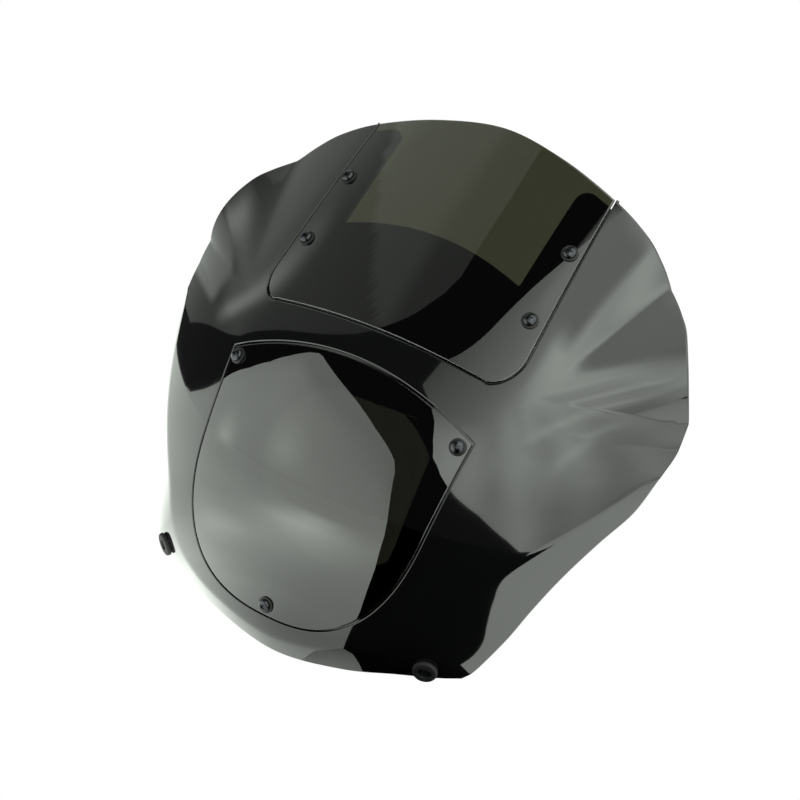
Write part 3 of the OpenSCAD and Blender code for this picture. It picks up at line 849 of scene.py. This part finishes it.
def pan_screw(head, seat, low):
    """Pan head screw with a cross recess, from its head on the washer at seat down to low, all
    in metres."""
    high, shank, pitch, thread = 0.0038, 0.0025, 0.0008, 0.00035
    crown = high * 0.45
    dome = (head**2 + crown**2) / (2 * crown)
    top = seat + high
    side = top - crown
    rows = [(0, top)]
    for x in (head - 0.0004) * spread(0, 1, 12)[1:]:
        rows.append((x, top - dome + math.sqrt(dome**2 - x**2)))
    rows += [(head - 0.0001, side - 0.0002), (head, side - 0.0005), (head, seat + 0.0003),
             (head - 0.0003, seat), (shank, seat)]
    turns = int((seat - 0.0005 - low) / pitch * 2)
    rows += [(shank - (thread if k % 2 else 0), seat - k * pitch / 2) for k in range(1, turns)]
    rows += [(shank - 0.0006, low), (0, low)]
    wide, long, taper = 0.00055, 0.0026, 0.62
    blades = []
    for crossed in (False, True):
        points = [(x * long * f, y * wide * f, z)
                  for z, f in ((seat + 0.0045, 1.0), (seat + 0.0019, taper))
                  for x, y in ((-1, -1), (1, -1), (1, 1), (-1, 1))]
        if crossed:
            points = [(-y, x, z) for x, y, z in points]
        blades.append(temp("blade", new_mesh("blade", points, [
            (0, 1, 2, 3), (7, 6, 5, 4), (0, 4, 5, 1), (1, 5, 6, 2), (2, 6, 7, 3),
            (3, 7, 4, 0)])))
    return only_mesh(carve(temp("screw", spin_profile("screw", rows)), blades))


def flat_washer(ring, high):
    """Washer with softened edges, in metres."""
    bore, soft, foot = 0.00265, 0.0004, 0.00002
    return spin_profile("washer", [
        (bore, foot), (ring - 0.0001, foot), (ring, 0.00015), (ring, high - soft),
        (ring - 0.00012, high - 0.00012), (ring - soft, high), (bore, high)], 64)


def lock_nut(face):
    """Hexagon lock nut with a round collar, which stands behind face, in metres."""
    flats, bore = 0.008, 0.00255
    corner = flats / math.cos(math.pi / 6) / 2
    end = face - NUT_HIGH
    nut = temp("nut", spin_profile("nut", [
        (bore, face), (flats / 2 - 0.0001, face), (corner, face - 0.0005),
        (corner, face - NUT_HIGH * 0.7), (flats * 0.47, face - NUT_HIGH * 0.72),
        (flats * 0.47, end + 0.0006), (flats * 0.43, end), (bore, end)], 72))
    a = np.radians(np.arange(0, 360, 60))
    above, below = face + 0.001, end - 0.001
    hexagon = [np.stack([corner * np.cos(a), corner * np.sin(a), np.full(6, h)], -1)
               for h in (above, below)]
    prism = temp("prism", stack_mesh("prism", hexagon, (0, 0, above), (0, 0, below)))
    return only_mesh(carve(nut, [prism], "INTERSECT"))


def set_all(name, template, seats, material, angle, nodes, spin=0.0):
    """A finished piece made of one template at every seat."""
    mesh = repeated(name, template, seats, material, 0.0, spin)
    shade(mesh, angle)
    finish_piece(name, mesh, material, nodes)


def node_names(kind):
    """The screws', washers' or nuts' nodes in the CAD model."""
    return ([f"windscreen_{kind}_{s}" for s in SCREEN_SCREWS]
            + [f"lens_{kind}_{s}" for s in COVER_SCREWS])


class FAIRING_OT_screws(bpy.types.Operator):
    """Set the pan head screws with their washers and lock nuts"""
    bl_idname = "fairing.screws"
    bl_label = "Screws"

    def execute(self, context):
        s = context.scene.fairing_sizes
        seats = screw_seats(SCREEN_XZ + COVER_XZ)
        washer, stack = 0.0012, s.panel_wall + s.seat_gap + s.shell_wall
        low = -(stack + NUT_GAP * MM + NUT_HIGH + 0.002)
        black = metal_finish("Black zinc plated steel", linear("#47484b"), 0.24, 900.0)
        set_all("pan_head_screws", pan_screw(s.head / 2, washer, low), seats, black, 35,
                node_names("screw"), math.pi)
        nylon = matte_polymer("Black nylon", linear("#0a0a0b"), 0.5, 1500.0, 0.00003)
        set_all("washers", flat_washer(s.washer / 2, washer), seats, nylon, 50,
                node_names("washer"))
        zinc = metal_finish("Zinc plated steel", linear("#c3c5c8"), 0.32, 700.0)
        set_all("lock_nuts", lock_nut(-(stack + NUT_GAP * MM)), seats, zinc, 30,
                node_names("nut"))
        return {"FINISHED"}


class FAIRING_OT_grommets(bpy.types.Operator):
    """Set the rubber grommets and their steel sleeves in the flanks"""
    bl_idname = "fairing.grommets"
    bl_label = "Grommets"

    def execute(self, context):
        seats = grommet_seats()
        f, neck, base = 3.6, 3.4, -3.2  # flange thickness, neck length, depth of the neck
        r, hole, bore = 9.0, 6.65, 5.0  # radii of the flange, the neck and the bore
        soft = roll(1.6, 6)
        rows = [(bore, -f + 0.3), (bore + 0.3, -f)]
        rows += [(r - x, -f + y) for x, y in soft]
        rows += [(r, -0.5), (r - 0.4, 0), (hole, 0), (hole, neck), (r - 0.4, neck),
                 (r, neck + 0.5)]
        rows += [(r - x, neck + f - y) for x, y in soft[::-1]]
        rows += [(bore + 0.3, neck + f), (bore, neck + f - 0.3)]
        rows = [(x * MM, (y + base) * MM) for x, y in rows]
        rubber = matte_polymer("Moulded black rubber", linear("#121213"), 0.72, 900.0, 0.00008)
        set_all("grommets", spin_profile("grommet", rows, 64), seats, rubber, 40,
                ["mount_grommet_left", "mount_grommet_right"])
        # The sleeve runs through the grommet, with a collar at its back
        bore, tube, collar = 4.1, 4.98, 7.5
        low = base - f
        high = low + 10.6
        rows = [(bore, low - 1.5), (collar - 0.3, low - 1.5), (collar, low - 1.2),
                (collar, low - 0.05), (tube, low - 0.05), (tube, high - 0.3),
                (4.8, high), (4.3, high), (bore, high - 0.3)]
        rows = [(x * MM, y * MM) for x, y in rows]
        steel = metal_finish("Turned black zinc plated steel", linear("#3a3b3d"), 0.42, 500.0)
        set_all("sleeves", spin_profile("sleeve", rows, 64), seats, steel, 35,
                ["mount_sleeve_left", "mount_sleeve_right"])
        return {"FINISHED"}


# Studio, in metres and degrees
FLOOR_Z = -0.1356
CAMERA_AT = (0.7432, -1.23637, 0.24744)
CAMERA_AXES = ((0.801, 0.51234, 0.30955), (-0.329, -0.05508, 0.94277), (0.5, -0.85710, 0.12440))
FOCAL_PIXELS = 1987.3   # focal length for a picture as wide as the next value, in pixels
PICTURE_WIDE = 800
SENSOR = 36             # width of the camera's sensor, in millimetres
WHITE = (1, 1, 1, 1)
DIM = 0.02              # strength of the surroundings
WALL_REACH = 3.2        # how far out the studio's walls stand
FLOOR_REACH = 3.197     # how far out its floor runs
CARD_LIFT = 0.0002      # how far the sheets lie above the floor
NEAR_GRID = 17          # points along each side of a near card
NEAR_FADE = 0.3         # part of its half size over which it fades out


def light_sheet(name, points, glow, color, power=None):
    """Studio sheet over a grid of points, unseen by the camera. It shines as strongly as glow
    says at each point or, with a power, evenly and as solid as glow says."""
    rows, n = points.shape[:2]
    i = np.arange(n - 1)
    faces = np.vstack([np.stack([k * n + i, k * n + i + 1, (k + 1) * n + i + 1,
                                 (k + 1) * n + i], -1) for k in range(rows - 1)])
    ob = temp(name, new_mesh(name, points.reshape(-1, 3), faces))
    ob.data.attributes.new("glow", "FLOAT", "POINT").data.foreach_set(
        "value", glow.astype(np.float32).ravel())
    mat, t = blank_material(name)
    level = add_node(t, "ShaderNodeAttribute", attribute_name="glow").outputs["Fac"]
    if power is None:
        shine = add_node(t, "ShaderNodeEmission", {"Strength": level}, inputs={"Color": color})
    else:
        clear = add_node(t, "ShaderNodeBsdfTransparent")
        even = add_node(t, "ShaderNodeEmission", inputs={"Color": color, "Strength": power})
        shine = add_node(t, "ShaderNodeMixShader", {"Fac": level, 1: clear.outputs["BSDF"],
                                                    2: even.outputs["Emission"]})
    close_material(t, shine.outputs[0])
    ob.data.materials.append(mat)
    ob.visible_camera = ob.visible_transmission = ob.visible_shadow = False
    return ob


def card(name, low, high, glow, color, on_floor=False, rows=20):
    """Soft light or black flag between two edges, each given over azimuth in degrees: as
    elevations on a wall round the object, or as distances out on the floor."""
    low, high = np.array(low, float), np.array(high, float)
    az = np.union1d(np.union1d(low[:, 0], high[:, 0]), np.arange(low[0, 0], low[-1, 0], 1))
    a, b = np.interp(az, *low.T), np.interp(az, *high.T)
    t = np.linspace(0, 1, rows + 1)[:, None]
    turn = np.broadcast_to(np.radians(az), (rows + 1, len(az)))
    if on_floor:
        level = a * (b / a)**t
        out, height = level, np.full(level.shape, FLOOR_Z + CARD_LIFT)
    else:
        level = a + t * (b - a)
        out = WALL_REACH * np.cos(np.radians(level))
        height = WALL_REACH * np.sin(np.radians(level))
    points = np.stack([out * np.sin(turn), -out * np.cos(turn), height], -1)
    strength = np.broadcast_to(glow(np.degrees(turn), level), level.shape)
    return light_sheet(name, points, strength, color)


def near_card(name, at, facing, size, power, color):
    """Small soft light close to an ear, which fades out at its edges. It sends its light
    back along facing and is size metres wide and high."""
    n = Vector(facing).normalized()
    right = Vector((0, 0, 1)).cross(n).normalized()
    up = n.cross(right)
    u, v = np.meshgrid(*[np.linspace(-1, 1, NEAR_GRID)] * 2)
    points = (np.array(at) + u[..., None] * size[0] / 2 * np.array(right)
              + v[..., None] * size[1] / 2 * np.array(up))
    solid = (np.clip((1 - np.abs(u)) / NEAR_FADE, 0, 1)
             * np.clip((1 - np.abs(v)) / NEAR_FADE, 0, 1))
    light_sheet(name, points, solid, color, power)


def floor_line(corners, steps=16):
    """Straight lines over the floor, through corners given as x and y, as azimuths and
    distances for a card's edge."""
    runs = [np.linspace(a, b, steps, endpoint=False) for a, b in zip(corners, corners[1:])]
    x, y = np.vstack([*runs, corners[-1:]]).T
    return list(zip(np.degrees(np.arctan2(x, -y)), np.hypot(x, y)))


def spot(u, v, at, size):
    """Soft round spot, 1 in the middle."""
    return np.exp(-((u - at[0]) / size[0])**2 - ((v - at[1]) / size[1])**2)


def streak(u, v, a, b, width):
    """Soft streak from a to b, 1 along its middle."""
    a, d = np.array(a, float), np.subtract(b, a)
    t = np.clip(((u - a[0]) * d[0] + (v - a[1]) * d[1]) / (d @ d), 0, 1)
    return np.exp(-((u - a[0] - t * d[0])**2 + (v - a[1] - t * d[1])**2) / width**2)


def left_side(az):
    """Strength of the left reflector round the object, where its wall meets its floor."""
    return np.interp(az, [-215, -150, -90, -74, -66, -52, -30, -5],
                     [1.0, 1.05, 1.3, 1.5, 1.45, 1.4, 1.35, 1.2])


def left_wall(az, el):
    """Strength of the left reflector's wall, which dims towards its upper edge."""
    top = np.interp(az, [-90, -72, -60, -46, -35, -12, -5], [0, 6, 11, 22, 15, 9, 4])
    fade = np.interp(el - top, [-14, -5, 0], [1.12, 1.0, 0.78])
    return (left_side(az) * fade + 0.7 * spot(az, el, (-59, -2.4), (4, 4))
            + 0.45 * spot(az, el, (-38, 3), (5, 4)))


def left_floor(az, r):
    """Strength of its sheet along the floor, with brighter patches close to the fairing."""
    x, y = r * np.sin(np.radians(az)), -r * np.cos(np.radians(az))
    near = np.interp(r, [0.05, 0.11, 0.3, 0.6, 1.2, 3.2], [0.65, 1.0, 1.22, 1.3, 1.15, 1.12])
    return (left_side(az) * near + 1.0 * spot(x, y, (-0.24, -0.18), (0.09, 0.06))
            + 1.2 * spot(x, y, (-0.26, -0.58), (0.10, 0.16))
            + 0.9 * spot(x, y, (-0.16, -0.42), (0.14, 0.22))
            + 1.4 * spot(x, y, (-0.15, -0.07), (0.10, 0.06))
            + 0.7 * spot(az, r, (-59, 3.2), (4, 0.8)))


def right_wall(az, el):
    """Strength of the right soft box, with the folds and waves of its cloth."""
    side = np.interp(az, [-20, -12, -5, 2, 8, 14, 20, 38, 45, 52, 58, 120],
                     [0.45, 0.7, 0.9, 1.1, 1.4, 1.8, 2.0, 2.1, 1.7, 1.45, 1.5, 1.5])
    folds = (streak(az, el, (12, 51), (23, 42), 2.2) + streak(az, el, (15, 45), (27, 26), 2.5)
             + streak(az, el, (28, 25), (39, 43), 2.0)
             + 0.8 * streak(az, el, (38, 15), (44, 30), 2))
    wave = 0.12 * np.sin((az + 0.72 * el) / 2.7) * np.interp(az, [8, 16], [0, 1])
    height = np.interp(el, [8, 12, 34, 50, 58], [0.85, 1.15, 1.1, 1.5, 1.2])
    dome = 1 + 0.5 * np.interp(el, [16, 26], [1, 0]) * np.interp(az, [4, 16], [1, 0])
    far = np.interp(az, [12, 20], [0, 1])
    return side * (1 + wave) * dome * (1 + far * (height - 1)) + 0.7 * folds


def high_wall(az, el):
    """Strength of the dim wall high on the left, with a lit band and a brighter top."""
    side = np.interp(az, [-125, -100, -88, -78, -68, -31], [0.55, 0.42, 0.45, 0.33, 0.22, 0.17])
    band = (np.exp(-((az + 87 - (el - 8) * 0.6) / 3.5)**2)
            * np.interp(el, [6, 12, 24, 34], [0, 1, 1, 0]))
    lit = np.interp(az - (el - 50) * -0.9, [-50, -44.5], [1.6, 1.0])
    valley = 1 - 0.6 * np.interp(az, [-84, -76], [1, 0]) * np.interp(el, [10, 20], [1, 0])
    return side * valley * np.where(el > 40, lit, 1) + 0.7 * band


def see_white(tree, plain, white, behind=None):
    """White to the camera, and through the smoked sheets where it lies behind them; plain to
    everything else."""
    path = add_node(tree, "ShaderNodeLightPath")
    seen = path.outputs["Is Camera Ray"]
    if behind:
        through = add_node(tree, "ShaderNodeMath",
                           {0: path.outputs["Is Transmission Ray"], 1: behind},
                           operation="MULTIPLY")
        seen = add_node(tree, "ShaderNodeMath", {0: seen, 1: through.outputs[0]},
                        operation="MAXIMUM").outputs[0]
    mix = add_node(tree, "ShaderNodeMixShader", {"Fac": seen, 1: plain, 2: white})
    return mix.outputs["Shader"]


def lay_floor(color):
    """Round matt floor, white to the camera."""
    a = np.radians(np.arange(0, 360, 5))
    disc = FLOOR_REACH * np.stack([np.cos(a), np.sin(a), 0 * a], -1) + [0, 0, FLOOR_Z]
    floor = temp("floor", new_mesh("floor", disc, [range(len(a))]))
    mat, t = blank_material("Matt white floor")
    plain = add_node(t, "ShaderNodeBsdfDiffuse", inputs={"Color": color})
    place = add_node(t, "ShaderNodeTexCoord").outputs["Object"]
    depth_in = add_node(t, "ShaderNodeSeparateXYZ", {"Vector": place}).outputs["Y"]
    behind = add_node(t, "ShaderNodeMath", {0: depth_in}, operation="GREATER_THAN",
                      inputs={1: 0.0})
    white = add_node(t, "ShaderNodeEmission", inputs={"Color": WHITE, "Strength": 1.0})
    close_material(t, see_white(t, plain.outputs["BSDF"], white.outputs["Emission"],
                                behind.outputs[0]))
    floor.data.materials.append(mat)


def light_world(scene):
    """Almost dark surroundings, white to the camera."""
    world = bpy.data.worlds.new("Studio")
    scene.world = world
    world.use_nodes = True
    t = world.node_tree
    t.nodes.clear()
    dim, white = [add_node(t, "ShaderNodeBackground", inputs={"Color": WHITE, "Strength": s})
                  .outputs["Background"] for s in (DIM, 1.0)]
    add_node(t, "ShaderNodeOutputWorld", {"Surface": see_white(t, dim, white)})


def place_camera(scene):
    """The camera, where the photograph was taken from."""
    eye = bpy.data.cameras.new("Camera")
    eye.sensor_width = SENSOR
    eye.lens = FOCAL_PIXELS * SENSOR / PICTURE_WIDE
    cam = bpy.data.objects.new("Camera", eye)
    scene.collection.objects.link(cam)
    cam.matrix_world = Matrix.Translation(CAMERA_AT) @ Matrix(CAMERA_AXES).transposed().to_4x4()
    scene.camera = cam


def hang_cards():
    """The soft lights and black flags that the gloss reflects."""
    soft = linear("#f4fbf3")
    base, reach = -2.4, FLOOR_REACH
    # White backdrop that only shows through the smoked sheets
    back = card("backdrop", [(95, base), (265, base)], [(95, 89), (265, 89)],
                lambda az, el: 1 + 0 * el, WHITE)
    back.visible_transmission = True
    back.visible_glossy = back.visible_diffuse = False
    # White reflector on the left: a wall that carries on as a sheet along the floor
    card("left_wall", [(-90, base), (-5, base)],
         [(-90, base + 0.1), (-86, -2), (-78, 0.5), (-70.6, 3.2), (-60.5, 8.4),
          (-54.3, 13), (-50, 18.7), (-46.5, 24.4), (-44.5, 26.2), (-43, 26), (-35, 21.2),
          (-28, 17.4), (-19.4, 12.8), (-10.4, 9), (-8.9, 7.8), (-6.7, 2.7), (-5, base)],
         left_wall, soft)
    edge = floor_line([(-0.28, -3.185), (-0.03, -1.13), (0.048, -0.372), (0.061, -0.16),
                       (0.060, -0.08), (0.060, -0.060)])
    card("left_floor", [(-215, 0.008), (45, 0.008)], [(-215, reach), *edge], left_floor,
         soft, on_floor=True)
    # Large soft box on the right, which fades towards the middle and runs to the back
    card("right_wall", [(-19.2, 42), (-17.6, 34.5), (-11.5, 29), (-5.7, 21.2), (-2.8, 15.5),
                        (0, 11.6), (4.8, 9.4), (10.8, 7.7), (23.1, 4.6), (34.2, 0.1),
                        (39, base), (140, base)],
         [(-19.2, 42.4), (-9.7, 49), (-3, 53.6), (1, 56.6), (8.9, 60.6), (10, 88),
          (140, 88)], right_wall, soft)
    right_edge = floor_line([(2.139, -2.376), (0.936, -0.843), (0.684, -0.395),
                             (0.548, -0.116), (0.286, -0.050), (0.195, -0.036),
                             (0.190, 0.0), (0.170, 0.050), (0.060, 0.085)])
    card("right_floor", right_edge, [(41.9, reach + 0.01), (145, reach)],
         lambda az, r: np.interp(r, [0.2, 0.7, 3.2], [2.0, 2.1, 1.5]), soft, on_floor=True)
    # Dim wall high on the left
    card("high_wall", [(-200, base), (-118, -1), (-103.4, 0.3), (-90.9, 4.4), (-78.1, 8.4),
                       (-72, 11), (-65, 18), (-58, 25), (-50, 31), (-43.3, 36.5),
                       (-39.7, 40), (-31.7, 45.6), (-30.8, 47)],
         [(-200, 62), (-42, 62), (-39.6, 57.3), (-36, 54.1), (-32.4, 49.6), (-30.8, 47.1)],
         high_wall, soft, rows=64)
    # Strip overhead
    card("top_wall", [(-40, 61.5), (9, 61.5)], [(-40, 88), (9, 88)],
         lambda az, el: 1.6 + 0 * el, soft)
    # Two small lights close to the ears' outer edges
    near_card("right_ear_card", (0.149, -0.107, 0.374), (-0.099, -0.579, 0.81),
              (0.12, 0.15), 1.35, soft)
    near_card("left_ear_card", (-0.299, 0.055, 0.126), (-0.973, 0.227, -0.042),
              (0.10, 0.065), 0.5, soft)
    # Black flag on the floor in front, which keeps that side of the gloss dark
    card("black_floor", [*edge, (145, 0.06)], [(-5.1, reach + 0.01), *right_edge],
         lambda az, r: 0 * r, soft, on_floor=True)


class FAIRING_OT_studio(bpy.types.Operator):
    """Set up the floor, the soft lights and the camera"""
    bl_idname = "fairing.studio"
    bl_label = "Studio"

    def execute(self, context):
        scene = context.scene
        scene.view_settings.view_transform = "Standard"
        lay_floor(scene.fairing_colors.floor)
        light_world(scene)
        hang_cards()
        place_camera(scene)
        return {"FINISHED"}


class FAIRING_PT_panel(bpy.types.Panel):
    """Sidebar panel that lists the pieces, their sizes and colours"""
    bl_idname = "FAIRING_PT_panel"
    bl_label = "Headlamp Fairing"
    bl_space_type = "VIEW_3D"
    bl_region_type = "UI"
    bl_category = "Fairing"

    def draw(self, context):
        for group in (context.scene.fairing_sizes, context.scene.fairing_colors):
            for name in group.__annotations__:
                self.layout.prop(group, name)
        for kind in OPERATORS:
            self.layout.operator(kind.bl_idname)


OPERATORS = (FAIRING_OT_shell, FAIRING_OT_panels, FAIRING_OT_screws, FAIRING_OT_grommets,
             FAIRING_OT_studio)
CLASSES = (FairingSizes, FairingColors, *OPERATORS, FAIRING_PT_panel)


def register():
    for kind in CLASSES:
        bpy.utils.register_class(kind)
    bpy.types.Scene.fairing_sizes = bpy.props.PointerProperty(type=FairingSizes)
    bpy.types.Scene.fairing_colors = bpy.props.PointerProperty(type=FairingColors)


def unregister():
    del bpy.types.Scene.fairing_colors
    del bpy.types.Scene.fairing_sizes
    for kind in reversed(CLASSES):
        bpy.utils.unregister_class(kind)


def main():
    register()
    bpy.ops.fairing.shell()
    bpy.ops.fairing.panels()
    bpy.ops.fairing.screws()
    bpy.ops.fairing.grommets()
    bpy.ops.fairing.studio()


if __name__ == "__main__":
    main()
